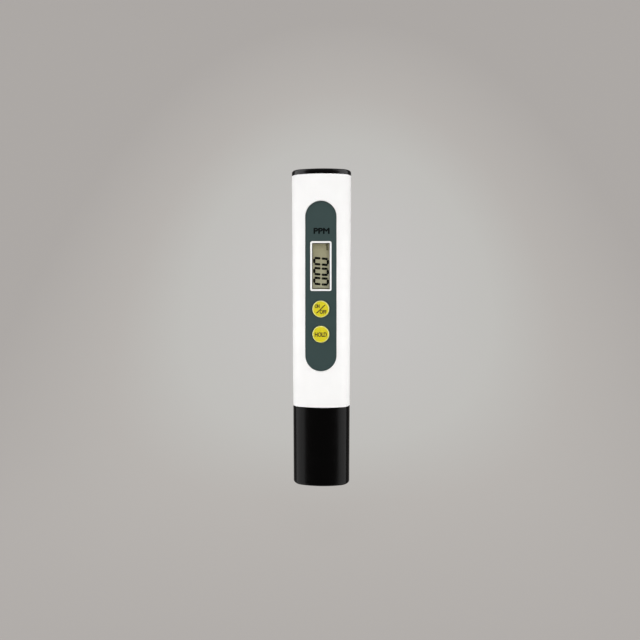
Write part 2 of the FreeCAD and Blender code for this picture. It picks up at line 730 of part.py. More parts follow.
def board_chips():
    """The bonded controller under its black resin, an amplifier chip, resistors and capacitors."""
    body = new_body("controller_blob")
    body.setExpression("Placement.Base.z", bound(DISPLAY))
    body.setExpression("Placement.Base.y", bound(f"-{BOARD_BACK}"))
    rise, half = value("blob_height"), value("blob_diameter") / 2
    dome = new_sketch(body, "dome", "XY_Plane")
    radius = "((blob_diameter ^ 2 / 4 + blob_height ^ 2) / (2 * blob_height))"
    centre = rise - value(radius)
    dome.addGeometry(Part.LineSegment(Vector(0, 0), Vector(half, 0)))
    dome.addGeometry(arc(0, centre, value(radius), math.atan2(-centre, half), math.pi / 2))
    dome.addGeometry(Part.LineSegment(Vector(0, rise), Vector(0, 0)))
    for first, second in ((0, 1), (1, 2), (2, 0)):
        dome.addConstraint(Constraint("Coincident", first, 2, second, 1))
    dome.addConstraint(Constraint("Coincident", 0, 1, -1, 1))
    dome.addConstraint(Constraint("Horizontal", 0))
    dome.addConstraint(Constraint("PointOnObject", 1, 3, -2))
    bind(dome, "DistanceX", 0, 1, 0, 2, to="blob_diameter / 2")
    bind(dome, "Radius", 1, to=radius)
    revolve(body, dome)

    body = new_body("amplifier_chip")
    body.setExpression("Placement.Base.y", bound(f"-{BOARD_BACK}"))
    body.setExpression("Placement.Base.z", bound(UPPER_BUTTON))
    package = new_sketch(body, "package", "XZ_Plane")
    draw_rectangle(package, "chip_width", "chip_length")
    pad(body, package, "chip_height", backwards=True)
    leg = new_sketch(body, "leg", "XZ_Plane", y="(-1.5 * chip_leg_pitch)")
    draw_rectangle(leg, "(chip_width + 2 * chip_leg_reach)", "chip_leg")
    legs = pad(body, leg, "chip_leg_height", backwards=True)
    row = body.newObject("PartDesign::LinearPattern", "amplifier_chip_legs")
    row.Originals = [legs]
    row.Direction = (leg, ["V_Axis"])
    row.Mode = "Spacing"
    row.setExpression("Offset", bound("chip_leg_pitch"))
    row.Occurrences = 4
    body.Tip = row

    passive_row("chip_resistors", "-1", "passive_height")
    passive_row("chip_capacitors", "1", "capacitor_height")


def passive_row(name, side, height):
    """A column of four small two-ended components beside the amplifier chip."""
    row = []
    for step in (-1.5, -0.5, 0.5, 1.5):
        level = f"({UPPER_BUTTON} + {step} * passive_pitch)"
        across = f"({side} * (chip_width / 2 + chip_leg_reach + passive_stand_off))"
        size = ("passive_length", height, "passive_width")
        row.append(box(f"{name}_{len(row) + 1}", across, BOARD_BACK, level, *size))
    group = doc.addObject("Part::Compound", name)
    group.Label = name
    group.Links = row
    parts.append(group)


def key(name, switch, height):
    """One round key with the flange that keeps it in, and the switch's plunger that it presses."""
    body = new_body(f"{name}_button")
    body.setExpression("Placement.Base.z", bound(height))
    flange = new_sketch(body, "flange", "XZ_Plane", z=FLANGE_BACK)
    draw_circle(flange, "flange_diameter")
    pad(body, flange, "flange_thickness")
    cap = new_sketch(body, "cap", "XZ_Plane", z=FLANGE_BACK)
    draw_circle(cap, "button_diameter")
    raised = pad(body, cap, f"{BUTTON_FACE} - {FLANGE_BACK}")
    round_edges(body, raised, forward_edges(raised, BUTTON_FACE), "button_edge")

    body = new_body(f"{switch}_plunger")
    body.setExpression("Placement.Base.z", bound(height))
    stem = new_sketch(body, "stem", "XZ_Plane", z=f"({SWITCH_TOP} - plunger_depth)")
    draw_circle(stem, "plunger_diameter")
    pad(body, stem, f"{FLANGE_BACK} - {SWITCH_TOP} + plunger_depth")


def switch(name, height):
    """A square push switch on the board: its base, and the steel cover with the plunger's hole."""
    body = new_body(f"{name}_base")
    body.setExpression("Placement.Base.z", bound(height))
    base = new_sketch(body, "base", "XZ_Plane", z="board_front")
    draw_rounded_rectangle(base, "switch_size", "switch_size", "switch_corner")
    pad(body, base, "switch_height")
    well = new_sketch(body, "well", "XZ_Plane", z=SWITCH_TOP)
    draw_circle(well, "(plunger_diameter + 2 * plunger_clearance)")
    pocket(body, well, "switch_height - well_floor")

    body = new_body(f"{name}_cover")
    body.setExpression("Placement.Base.z", bound(height))
    plate = new_sketch(body, "plate", "XZ_Plane", z=SWITCH_TOP)
    draw_rounded_rectangle(plate, "switch_size", "switch_size", "switch_corner")
    draw_circle(plate, "(plunger_diameter + 2 * plunger_clearance)")
    pad(body, plate, "switch_cover")


def trimmer():
    """The calibration trimmer: a square base on the board's back, and the slotted rotor in it."""
    body = new_body("trimmer_base")
    body.setExpression("Placement.Base.z", bound(TRIMMER))
    base = new_sketch(body, "base", "XZ_Plane", z=BOARD_BACK)
    draw_rectangle(base, "trimmer_size", "trimmer_size")
    pad(body, base, "trimmer_height", backwards=True)
    well = new_sketch(body, "well", "XZ_Plane", z=f"({BOARD_BACK} - trimmer_height)")
    draw_circle(well, "(rotor_stem + 2 * rotor_clearance)")
    pocket(body, well, "rotor_stem_length + rotor_clearance", forwards=True)

    body = new_body("trimmer_rotor")
    body.setExpression("Placement.Base.z", bound(TRIMMER))
    head = new_sketch(body, "head", "XZ_Plane", z=ROTOR_FACE)
    draw_circle(head, "rotor_diameter")
    pad(body, head, "rotor_thickness")
    stem = new_sketch(body, "stem", "XZ_Plane", z=f"({ROTOR_FACE} + rotor_thickness)")
    draw_circle(stem, "rotor_stem")
    pad(body, stem, "rotor_stem_length")
    for name, across, up in (
        ("slot", "rotor_slot_length", "rotor_slot"), ("cross", "rotor_slot", "rotor_slot_length")
    ):
        slot = new_sketch(body, name, "XZ_Plane", z=ROTOR_FACE)
        draw_rectangle(slot, across, up)
        pocket(body, slot, "rotor_slot_depth", forwards=True)


def battery_drawer():
    """The black lid, the spigot that seats in the tube, and the tray that carries two cells."""
    body = new_body("battery_drawer")
    under = "(overall_height - lid_height)"
    outline = new_sketch(body, "lid", "XY_Plane", z=under)
    draw_section(outline, "overall_height")
    lid = pad(body, outline, "lid_height")
    round_edges(body, lid, level_edges(lid, "overall_height"), "lid_edge_round")

    spigot_foot = f"({HOUSING_HEAD} - spigot_height)"
    spigot = new_sketch(body, "spigot", "XY_Plane", z=spigot_foot)
    draw_section(spigot, spigot_foot, "(housing_wall + spigot_clearance)")
    draw_section(spigot, spigot_foot, "(housing_wall + spigot_clearance + spigot_wall)")
    pad(body, spigot, f"{under} - {spigot_foot}")

    tray = new_sketch(body, "tray", "XY_Plane", z=TRAY_FOOT)
    draw_rectangle(tray, "tray_width", "tray_thickness")
    pad(body, tray, f"{under} - {TRAY_FOOT}")
    fins = new_sketch(body, "fins", "XY_Plane", z=TRAY_FOOT)
    draw_rectangle(fins, f"({BOARD_WIDTH} - 2 * fin_gap)", "tray_fin")
    pad(body, fins, f"{under} - {TRAY_FOOT}")
    cell_pockets(body, under)


def cell_pockets(body, under):
    """The tray's thinned waist for the contacts, and a round pocket with a back lip for each cell."""
    middle = f"(({TRAY_FOOT} + {under}) / 2)"
    for name, side, forwards in (("front_waist", "1", True), ("back_waist", "-1", False)):
        waist = new_sketch(
            body, name, "XZ_Plane", y=middle, z=f"{side} * (tray_thickness / 2 - tray_waist_depth)"
        )
        draw_rectangle(waist, "tray_waist", f"({under} - {TRAY_FOOT})")
        pocket(body, waist, "(2 * tray_waist_depth)", forwards=forwards)
    for name, height in (("upper_cell", UPPER_CELL), ("lower_cell", LOWER_CELL)):
        seat = new_sketch(body, f"{name}_seat", "XZ_Plane", y=height, z=f"({CAN_BACK} - cell_seat_gap)")
        draw_circle(seat, "(cell_diameter + 2 * cell_clearance)")
        pocket(body, seat, forwards=True)
        through = new_sketch(body, f"{name}_hole", "XZ_Plane", y=height, z=CAN_BACK)
        draw_circle(through, "(cell_diameter - 2 * tray_lip)")
        pocket(body, through)


def button_cell(name, height):
    """One button cell: the can, whose flat face is the plus, the insulating ring and the minus lid."""
    body = new_body(f"{name}_can")
    body.setExpression("Placement.Base.z", bound(height))
    can = new_sketch(body, "can", "XZ_Plane", z=CAN_BACK)
    draw_circle(can, "cell_diameter")
    drum = pad(body, can, f"{CELL_FACE} - {CAN_BACK}")
    rims = forward_edges(drum, CELL_FACE) + forward_edges(drum, CAN_BACK)
    bevel_edges(body, drum, rims, "cell_rim")
    mouth = new_sketch(body, "mouth", "XZ_Plane", z=CAN_BACK)
    draw_circle(mouth, "(cell_lid_diameter + 2 * cell_gasket)")
    pocket(body, mouth, "cell_gasket_depth", forwards=True)

    body = new_body(f"{name}_gasket")
    body.setExpression("Placement.Base.z", bound(height))
    ring = new_sketch(body, "ring", "XZ_Plane", z=CAN_BACK)
    draw_circle(ring, "(cell_lid_diameter + 2 * cell_gasket)")
    draw_circle(ring, "cell_lid_diameter")
    pad(body, ring, "cell_gasket_depth")

    body = new_body(f"{name}_minus_lid")
    body.setExpression("Placement.Base.z", bound(height))
    plate = new_sketch(body, "plate", "XZ_Plane", z=f"-{CELL_FACE}")
    draw_circle(plate, "cell_lid_diameter")
    disc = pad(body, plate, "(cell_gasket_depth + cell_lid_rise)")
    bevel_edges(body, disc, forward_edges(disc, f"-{CELL_FACE}"), "(cell_lid_rise / 2)")


def contact_strip(name, lane, points):
    """A bent spring strip: a flat section swept along straight legs in the fore-and-aft plane."""
    body = new_body(name)
    path = new_sketch(body, "path", "YZ_Plane", z=lane)
    draw_outline(path, [(f"-({forward})", height) for forward, height in points], closed=False)
    start_forward, start_height = points[0]
    section = new_sketch(body, "section", "XY_Plane", x=lane, y=f"-({start_forward})", z=start_height)
    draw_rectangle(section, "strip_width", "strip_thickness")
    sweep = body.newObject("PartDesign::AdditivePipe", f"{name}_sweep")
    sweep.Profile = section
    sweep.Spine = (path, [f"Edge{n}" for n in range(1, len(points))])
    sweep.Transition = "Right corner"


def contacts():
    """Three strips that put the two cells in series and bring their ends to the board."""
    touch = f"({CELL_FACE} + strip_dimple_gap + strip_thickness / 2)"
    tab = f"({BOARD_HEAD} - strip_tab)"
    front_tab = "(board_front + strip_gap + strip_thickness / 2)"
    back_tab = f"({BOARD_BACK} - strip_gap - strip_thickness / 2)"

    def finger(side, cell):
        stand = f"{side} * {STRIP_STAND_OFF}"
        return [
            (stand, f"({cell} - strip_dimple)"),
            (f"{side} * {touch}", cell),
            (stand, f"({cell} + strip_dimple)"),
        ]

    contact_strip("positive_contact", "-strip_lane", [
        (front_tab, tab), (front_tab, STRIP_CROSSING), (STRIP_STAND_OFF, STRIP_CROSSING),
        *finger("1", UPPER_CELL),
    ])
    contact_strip("negative_contact", "-strip_lane", [
        (back_tab, tab), (back_tab, STRIP_CROSSING), (f"-{STRIP_STAND_OFF}", STRIP_CROSSING),
        *finger("-1", LOWER_CELL),
    ])
    contact_strip("series_link", "strip_lane", [
        *reversed(finger("1", LOWER_CELL)),
        (STRIP_STAND_OFF, STRIP_CROSSING), (f"-{STRIP_STAND_OFF}", STRIP_CROSSING),
        *finger("-1", UPPER_CELL),
    ])


def electrode_holder():
    """The black wet end: plug, collar that carries the cap, diaphragm, and slotted guard."""
    body = new_body("electrode_holder")
    plug = new_sketch(body, "plug", "XY_Plane", z=HOUSING_FOOT)
    draw_section(plug, HOUSING_FOOT, "(housing_wall + plug_clearance)")
    pad(body, plug, "plug_height")
    collar = new_sketch(body, "collar", "XY_Plane", z=COLLAR_FOOT)
    draw_section(collar, COLLAR_FOOT, "(cap_wall + cap_clearance)")
    pad(body, collar, "collar_height")
    guard = new_sketch(body, "guard", "XY_Plane", z="guard_foot")
    draw_section(guard, "guard_foot", "(cap_wall + guard_inset)")
    pad(body, guard, f"{COLLAR_FOOT} - guard_foot")

    bead = new_sketch(body, "grip_bead", "XZ_Plane", y=f"({HOUSING_FOOT} - bead_drop)")
    draw_rectangle(bead, "bead_width", "bead_height")
    bump = pad(body, bead, f"top_depth / 2 * {taper(COLLAR_FOOT)} - cap_wall - cap_clearance + bead_rise")
    mirror(body, [bump], "XZ_Plane")

    chamber = new_sketch(body, "chamber", "XY_Plane", z="guard_foot")
    draw_section(chamber, "guard_foot", "(cap_wall + guard_inset + guard_wall)")
    pocket(body, chamber, f"{COLLAR_FOOT} - guard_foot", forwards=True)
    well = new_sketch(body, "well", "XY_Plane", z=DIAPHRAGM_TOP)
    draw_section(well, HOUSING_FOOT, "(housing_wall + plug_clearance + plug_wall)")
    pocket(body, well, forwards=True)

    groove = new_sketch(body, "seal_groove", "XY_Plane", z=SEAL_FOOT)
    draw_section(groove, HOUSING_FOOT, "(housing_wall / 2)")
    draw_section(groove, HOUSING_FOOT, "(housing_wall + plug_clearance + seal_depth)")
    pocket(body, groove, "seal_height", forwards=True)

    slot = new_sketch(body, "guard_slot", "XZ_Plane", y="guard_foot")
    draw_stadium(slot, "guard_slot_width", "(2 * guard_slot_height)")
    pocket(body, slot, both=True)
    nib = new_sketch(body, "nib", "XY_Plane", z=COLLAR_FOOT)
    draw_circle(nib, "probe_nib_diameter")
    pad(body, nib, "probe_nib_length", backwards=True)
    pin_holes(body)


def pin_holes(body):
    """The bores for the two electrodes, and the blind bore that holds the temperature bead."""
    for name, side in (("left_bore", "-1"), ("right_bore", "1")):
        bore = new_sketch(
            body, name, "XY_Plane", x=f"{side} * electrode_spacing / 2", z=DIAPHRAGM_TOP
        )
        draw_circle(bore, "(electrode_diameter + 2 * electrode_fit)")
        pocket(body, bore, "2 * diaphragm")
    bead = new_sketch(body, "bead_bore", "XY_Plane", z=DIAPHRAGM_TOP)
    draw_circle(bead, "(thermistor_diameter + 2 * thermistor_clearance)")
    wall = "((probe_nib_diameter - thermistor_diameter) / 2)"
    pocket(body, bead, f"diaphragm + probe_nib_length - {wall}")


def electrodes():
    """The two round titanium pins, with round tips, and the temperature bead in its blind bore."""
    for name, side in (("left_electrode", "-1"), ("right_electrode", "1")):
        body = new_body(name)
        body.setExpression("Placement.Base.x", bound(f"{side} * electrode_spacing / 2"))
        shaft = new_sketch(body, "shaft", "XY_Plane", z=ELECTRODE_TIP)
        draw_circle(shaft, "electrode_diameter")
        rod = pad(body, shaft, f"{ELECTRODE_TOP} - {ELECTRODE_TIP}")
        round_edges(body, rod, level_edges(rod, ELECTRODE_TIP), "(electrode_diameter * 0.45)")
    body = new_body("thermistor")
    floor = f"({COLLAR_FOOT} - probe_nib_length + (probe_nib_diameter - thermistor_diameter) / 2)"
    bead = new_sketch(body, "bead", "XY_Plane", z=f"{floor} + thermistor_clearance")
    draw_circle(bead, "thermistor_diameter")
    drop = pad(body, bead, "thermistor_length")
    round_edges(
        body, drop,
        level_edges(drop, f"{floor} + thermistor_clearance")
        + level_edges(drop, f"{floor} + thermistor_clearance + thermistor_length"),
        "(thermistor_diameter * 0.45)",
    )


def holder_seal():
    """The rubber ring in the plug's groove that keeps water out of the tube."""
    body = new_body("holder_seal")
    ring = new_sketch(body, "ring", "XY_Plane", z=f"{SEAL_FOOT} + seal_gap")
    draw_section(ring, SEAL_FOOT, "(housing_wall + seal_gap)")
    draw_section(ring, HOUSING_FOOT, "(housing_wall + plug_clearance + seal_depth - seal_gap)")
    pad(body, ring, "seal_height - 2 * seal_gap")


def rounded_path(points, share=0.3):
    """A wire through points: straight runs joined by tangent arcs that take a share of each run."""
    edges, last = [], points[0]
    for before, corner, after in zip(points, points[1:], points[2:]):
        back, on = (before - corner).normalize(), (after - corner).normalize()
        reach = share * min((before - corner).Length, (after - corner).Length)
        half = back.getAngle(on) / 2
        radius = reach * math.tan(half)
        middle = corner + (back + on).normalize() * (radius / math.sin(half) - radius)
        entry, leave = corner + back * reach, corner + on * reach
        edges += [Part.makeLine(last, entry), Part.Arc(entry, middle, leave).toShape()]
        last = leave
    edges.append(Part.makeLine(last, points[-1]))
    return Part.Wire(edges)


def lead(points, diameter):
    """A round insulated wire along a path of points, each right, forward and up."""
    spots = [Vector(x, -forward, z) for x, forward, z in points]
    path = rounded_path(spots)
    end = Part.Wire(Part.makeCircle(diameter / 2, spots[0], spots[1] - spots[0]))
    return path.makePipeShell([end], True, False)


def internal_leads():
    """The wires from the electrodes and the temperature bead up to the board's foot."""
    bend, top = value(f"{BOARD_FOOT} - lead_rise"), value(f"{BOARD_FOOT} + lead_overlap")
    plug_head, gap = value(PLUG_HEAD), value("lead_gap")
    thick, thin = value("lead_diameter"), value("thin_lead_diameter")
    front = value("board_front") + gap + thick / 2
    rise = value(ELECTRODE_TOP) + gap
    for name, side in (("left_electrode_lead", -1), ("right_electrode_lead", 1)):
        x = side * value("electrode_spacing") / 2
        wire = doc.addObject("Part::Feature", name)
        wire.Label = name
        wire.Shape = lead([(x, 0, rise), (x, 0, plug_head), (x, front, bend), (x, front, top)], thick)
        parts.append(wire)
    bead_top = (
        value(COLLAR_FOOT) - value("probe_nib_length") + value("thermistor_length")
        + (value("probe_nib_diameter") - value("thermistor_diameter")) / 2
        + value("thermistor_clearance") + gap
    )
    back = value(BOARD_BACK) - gap - thin / 2
    wires = []
    for side in (-1, 1):
        x = side * value("thin_lead_spacing") / 2
        wires.append(lead([(x, 0, bead_top), (x, 0, plug_head), (x, back, bend), (x, back, top)], thin))
    pair = doc.addObject("Part::Feature", "thermistor_leads")
    pair.Label = "thermistor_leads"
    pair.Shape = Part.makeCompound(wires)
    parts.append(pair)


def check_and_export():
    """Stops on any failed feature or bad solid, then writes each part to its own file."""
    doc.recompute()
    failed = [item.Name for item in doc.Objects if "Invalid" in item.State or "Error" in item.State]
    if failed:
        raise RuntimeError(f"features that failed: {failed}")
    for part in parts:
        if part.Shape.isNull() or not part.Shape.isValid() or not part.Shape.Solids:
            raise RuntimeError(f"{part.Label} is not a valid solid")
    os.makedirs("parts", exist_ok=True)
    for part in parts:
        part.Shape.exportStep(f"parts/{part.Label}.step")
    print(f"{len(parts)} parts written")


fill_sheet()
protective_cap()
housing()
face_panel()
display_lens()
display_cell()
rubber_connectors()
display_carrier()
circuit_board()
board_chips()
key("on_off", "on_off_switch", UPPER_BUTTON)
key("hold", "hold_switch", LOWER_BUTTON)
switch("on_off_switch", UPPER_BUTTON)
switch("hold_switch", LOWER_BUTTON)
trimmer()
battery_drawer()
button_cell("upper_cell", UPPER_CELL)
button_cell("lower_cell", LOWER_CELL)
contacts()
electrode_holder()
electrodes()
holder_seal()
internal_leads()
check_and_export()
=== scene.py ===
# %% [markdown]
# # A pocket water tester
# This lesson dresses one hand-held tester: an oval white pen with a slate panel, a small display,
# two yellow keys and a black cap. The solid parts come ready made, in metres, standing on the
# cap's foot with the face towards -Y. They are kept as they are, so that every part still fits
# the next. What is added here is the studio, the finishes, the thin prints that are too slight
# to be solids, and a thin line of painted shade round the display's window.
# %% Load the solid parts
import bmesh
import bpy
import math
from mathutils import Matrix, Vector


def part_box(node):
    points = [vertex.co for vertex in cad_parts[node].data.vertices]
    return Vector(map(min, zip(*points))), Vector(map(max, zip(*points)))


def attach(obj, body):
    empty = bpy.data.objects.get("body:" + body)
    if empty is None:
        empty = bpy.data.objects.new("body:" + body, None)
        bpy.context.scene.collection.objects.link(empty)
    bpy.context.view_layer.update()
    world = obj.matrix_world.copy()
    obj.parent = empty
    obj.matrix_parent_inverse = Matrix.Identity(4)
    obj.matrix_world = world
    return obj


mm, micron = 0.001, 0.000001
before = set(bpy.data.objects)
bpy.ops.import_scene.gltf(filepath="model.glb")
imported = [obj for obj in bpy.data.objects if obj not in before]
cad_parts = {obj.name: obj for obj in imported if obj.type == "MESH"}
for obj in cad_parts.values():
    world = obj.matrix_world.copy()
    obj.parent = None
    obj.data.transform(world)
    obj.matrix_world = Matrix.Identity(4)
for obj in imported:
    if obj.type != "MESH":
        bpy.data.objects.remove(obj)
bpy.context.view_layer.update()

# %% [markdown]
# The photograph was taken level, from a little to the right of the pen and a little above its
# middle. A level camera keeps upright edges upright. The picture's centre lies below the lens's
# height, so the lens is shifted and not tilted, as a product photographer does with a view
# camera.
# %% Stand the camera where the photograph was taken
def stand_camera(away, height, turned, focal, shift_x, shift_y, film_width=36):
    lens = bpy.data.cameras.new("studio_camera")
    lens.lens, lens.sensor_width = focal, film_width
    lens.shift_x, lens.shift_y = shift_x, shift_y
    lens.clip_start = 10 * mm
    stand = bpy.data.objects.new("studio_camera", lens)
    angle = math.radians(turned)
    stand.location = (away * math.sin(angle), -away * math.cos(angle), height)
    stand.rotation_euler = (math.radians(90), 0, angle)
    bpy.context.scene.collection.objects.link(stand)
    bpy.context.scene.camera = stand
    return stand


camera = stand_camera(
    away=0.265, height=0.0937, turned=2.6, focal=30.85, shift_x=-0.0023, shift_y=-0.0503
)
bpy.context.scene.view_settings.view_transform = "Standard"
print("camera at", [round(n, 4) for n in camera.location])

# %% [markdown]
# A photographer's cove is a floor that curves up into a wall, so no line shows where they meet.
# This one goes all the way round, so the pen can be looked at from any side. Its profile is a
# chain of edges from the middle of the floor to the top of the wall, spun a full turn about the
# upright axis. The pen hangs a little above the floor, with room under it to draw the cap off,
# and so its shadow spreads until it hardly shows.
# %% Spin the studio cove
def spin_cove(reach, bend, top, floor, bend_steps=12, round_steps=64):
    mesh = bmesh.new()
    flat = reach - bend
    first_ring = 0.2 * flat
    profile = [(0, floor), (first_ring, floor)]
    for step in range(bend_steps + 1):
        turn = math.radians(90 * step / bend_steps)
        profile.append((flat + bend * math.sin(turn), floor + bend - bend * math.cos(turn)))
    profile.append((reach, top))
    chain = [mesh.verts.new((along, 0, up)) for along, up in profile]
    edges = [mesh.edges.new(pair) for pair in zip(chain, chain[1:])]
    bmesh.ops.spin(
        mesh, geom=chain + edges, cent=(0, 0, 0), axis=(0, 0, 1), angle=math.radians(360),
        steps=round_steps, use_merge=True,
    )
    bmesh.ops.remove_doubles(mesh, verts=mesh.verts, dist=0.01 * mm)
    bmesh.ops.recalc_face_normals(mesh, faces=mesh.faces)
    for face in mesh.faces:
        face.smooth = True
    data = bpy.data.meshes.new("studio_cove")
    mesh.to_mesh(data)
    mesh.free()
    cove = bpy.data.objects.new("studio_cove", data)
    bpy.context.scene.collection.objects.link(cove)
    return cove


cap_room = 36 * mm
studio_cove = spin_cove(reach=0.70, bend=0.50, top=1.2, floor=-cap_room)
print("studio cove faces:", len(studio_cove.data.polygons))

# %% [markdown]
# Every finish starts the same way: one Principled shader, with each number that is the same all
# over set on the shader's own socket. What changes over the surface is added afterwards by small
# helpers. They read noise in the part's own metres, or how high up a point is, or which way the
# surface looks there, and a colour ramp turns such a factor into a colour.
# %% Start a finish
def start_finish(name, colour, roughness, metallic=0.0, gloss=0.5):
    finish = bpy.data.materials.new(name + "_finish")
    finish.use_nodes = True
    shader = finish.node_tree.nodes["Principled BSDF"]
    shader.inputs["Base Color"].default_value = (*colour, 1)
    shader.inputs["Roughness"].default_value = roughness
    shader.inputs["Metallic"].default_value = metallic
    shader.inputs["Specular IOR Level"].default_value = gloss
    return finish


def part_noise(finish, size, detail=3.0, stretch=(1, 1, 1)):
    """Noise in the part's own metres; size is the width of one blotch."""
    nodes, links = finish.node_tree.nodes, finish.node_tree.links
    place = nodes.new("ShaderNodeTexCoord")
    turn = nodes.new("ShaderNodeMapping")
    turn.inputs["Scale"].default_value = stretch
    noise = nodes.new("ShaderNodeTexNoise")
    noise.inputs["Scale"].default_value = 1 / size
    noise.inputs["Detail"].default_value = detail
    links.new(place.outputs["Object"], turn.inputs["Vector"])
    links.new(turn.outputs["Vector"], noise.inputs["Vector"])
    return noise.outputs["Fac"]


def part_axis(finish, kind, axis):
    """One axis of the Object place or of the Normal of each point."""
    nodes, links = finish.node_tree.nodes, finish.node_tree.links
    split = nodes.new("ShaderNodeSeparateXYZ")
    links.new(nodes.new("ShaderNodeTexCoord").outputs[kind], split.inputs["Vector"])
    return split.outputs[axis]


def ramp_colour(finish, factor, stops):
    """Colours the surface by a factor; each stop is a position and a colour."""
    nodes, links = finish.node_tree.nodes, finish.node_tree.links
    ramp = nodes.new("ShaderNodeValToRGB")
    elements = ramp.color_ramp.elements
    for element, (position, colour) in zip(elements, (stops[0], stops[-1])):
        element.position, element.color = position, (*colour, 1)
    for position, colour in stops[1:-1]:
        elements.new(position).color = (*colour, 1)
    links.new(factor, ramp.inputs["Fac"])
    links.new(ramp.outputs["Color"], nodes["Principled BSDF"].inputs["Base Color"])
    return ramp.outputs["Color"]


print("helpers ready: start_finish, part_noise, part_axis, ramp_colour")

# %% [markdown]
# Real surfaces are never even. A fine grain tilts the surface a hair, a slow mottle makes some
# places shinier, and a slow tint makes some places darker. Each helper drives one of those from
# noise. Grain is some tenths of a millimetre wide, and a few thousandths deep.
# %% Add grain, mottle and tint
blotch_ends = (0.3, 0.7)  # nearly all of the noise lies between these
mottle_size, mottle_share = 6 * mm, 0.12
tint_size, tint_share = 9 * mm, 0.015


def add_grain(finish, size, depth, stretch=(1, 1, 1)):
    nodes, links = finish.node_tree.nodes, finish.node_tree.links
    bump = nodes.new("ShaderNodeBump")
    bump.inputs["Strength"].default_value = 1.0
    bump.inputs["Distance"].default_value = depth
    links.new(part_noise(finish, size, 2.0, stretch), bump.inputs["Height"])
    links.new(bump.outputs["Normal"], nodes["Principled BSDF"].inputs["Normal"])


def add_mottle(finish, size, low, high):
    nodes, links = finish.node_tree.nodes, finish.node_tree.links
    spread = nodes.new("ShaderNodeMapRange")
    spread.inputs["From Min"].default_value, spread.inputs["From Max"].default_value = blotch_ends
    spread.inputs["To Min"].default_value = low
    spread.inputs["To Max"].default_value = high
    links.new(part_noise(finish, size), spread.inputs["Value"])
    links.new(spread.outputs["Result"], nodes["Principled BSDF"].inputs["Roughness"])


def add_tint(finish, size, darker, paler):
    ramp_colour(finish, part_noise(finish, size), tuple(zip(blotch_ends, (darker, paler))))


def shaded(colour, share):
    """The colour made darker or paler by a share."""
    return tuple(channel * share for channel in colour)


def finish_surface(
    name, colour, roughness, grain, depth, metallic=0.0, gloss=0.5, stretch=(1, 1, 1)
):
    """A finish with all three: grain of a size and depth, and gentle mottle and tint."""
    finish = start_finish(name, colour, roughness, metallic, gloss)
    add_grain(finish, grain, depth, stretch)
    add_mottle(
        finish, mottle_size, roughness * (1 - mottle_share), roughness * (1 + mottle_share)
    )
    add_tint(finish, tint_size, shaded(colour, 1 - tint_share), shaded(colour, 1 + tint_share))
    return finish


def dress(finish, *names):
    """Puts a finish on solid parts."""
    for name in names:
        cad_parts[name].material_slots[0].material = finish
    print(finish.name, "on", ", ".join(names))


# %% [markdown]
# The tube is white moulded plastic with a satin shine. The cap, and the lid of the battery
# drawer, are the same plastic in black with a smoother mould, so they show long soft reflections.
# %% White tube, black cap and lid
white_shell = finish_surface(
    "white_shell", (0.90, 0.905, 0.905),
    roughness=0.40, grain=0.22 * mm, depth=1.2 * micron, gloss=0.18,
)
dress(white_shell, "housing")
black_plastic = (0.0006, 0.0005, 0.0005)
black_shell = finish_surface(
    "black_shell", black_plastic,
    roughness=0.22, grain=0.25 * mm, depth=0.6 * micron, gloss=0.045,
)
dress(black_shell, "protective_cap")
black_lid = finish_surface(
    "black_lid", black_plastic,
    roughness=0.22, grain=0.25 * mm, depth=0.6 * micron, gloss=0.055,
)
dress(black_lid, "battery_drawer")

# %% [markdown]
# The panel is a slate grey sheet with a matt printed face. The window over the display is clear:
# a see-through share on the shader lets light in and out without bending it, which suits a thin
# pane.
# %% Slate panel and clear window
panel_slate = finish_surface(
    "panel_slate", (0.028, 0.052, 0.051),
    roughness=0.55, grain=0.12 * mm, depth=2 * micron, gloss=0.3,
)
dress(panel_slate, "face_panel")
clear_pane = start_finish("clear_pane", (0.02, 0.02, 0.018), 0.04, gloss=0.8)
clear_pane.node_tree.nodes["Principled BSDF"].inputs["Alpha"].default_value = 0.06
add_grain(clear_pane, 4 * mm, 0.4 * micron)
dress(clear_pane, "display_lens")

# %% [markdown]
# The liquid crystal glass looks like an even olive tan film with a very fine weave, a little
# browner towards the top. Height up the pen drives that change.
# %% Display glass
def finish_display(lower, upper):
    finish = start_finish("display_film", lower, 0.45)
    nodes, links = finish.node_tree.nodes, finish.node_tree.links
    foot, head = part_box("lcd_front_glass")
    spread = nodes.new("ShaderNodeMapRange")
    spread.inputs["From Min"].default_value = foot.z
    spread.inputs["From Max"].default_value = head.z
    links.new(part_axis(finish, "Object", "Z"), spread.inputs["Value"])
    ramp_colour(finish, spread.outputs["Result"], ((0, lower), (1, upper)))
    add_grain(finish, 0.09 * mm, 2 * micron)
    return finish


display_film = finish_display((0.48, 0.475, 0.325), (0.41, 0.385, 0.235))
dress(display_film, "lcd_front_glass")
display_back = finish_surface(
    "display_back", (0.42, 0.42, 0.38),
    roughness=0.2, grain=0.4 * mm, depth=0.5 * micron,
)
dress(display_back, "lcd_back_glass")

# %% [markdown]
# The keys are smooth yellow caps, painted paler where the edge rounds over: a painted highlight
# for the light the rounded edge catches. That is found from the normal, the direction in which
# the surface looks: on the flat top it points along -Y, and on the rounded edge it turns away.
# %% Yellow keys
def finish_keys(colour, edge):
    finish = finish_surface(
        "key_yellow", colour,
        roughness=0.28, grain=0.3 * mm, depth=1.2 * micron,
    )
    nodes, links = finish.node_tree.nodes, finish.node_tree.links
    turned = nodes.new("ShaderNodeMath")
    turned.operation, turned.inputs[1].default_value = "ADD", 1
    links.new(part_axis(finish, "Normal", "Y"), turned.inputs[0])
    # The edge colour is a painted highlight on the keys' rounded rim.
    ramp_colour(finish, turned.outputs[0], ((0.005, colour), (0.12, edge)))
    return finish


# The second colour is the painted highlight on the rounded edges.
dress(finish_keys((0.65, 0.57, 0.012), (0.82, 0.82, 0.33)), "on_off_button", "hold_button")

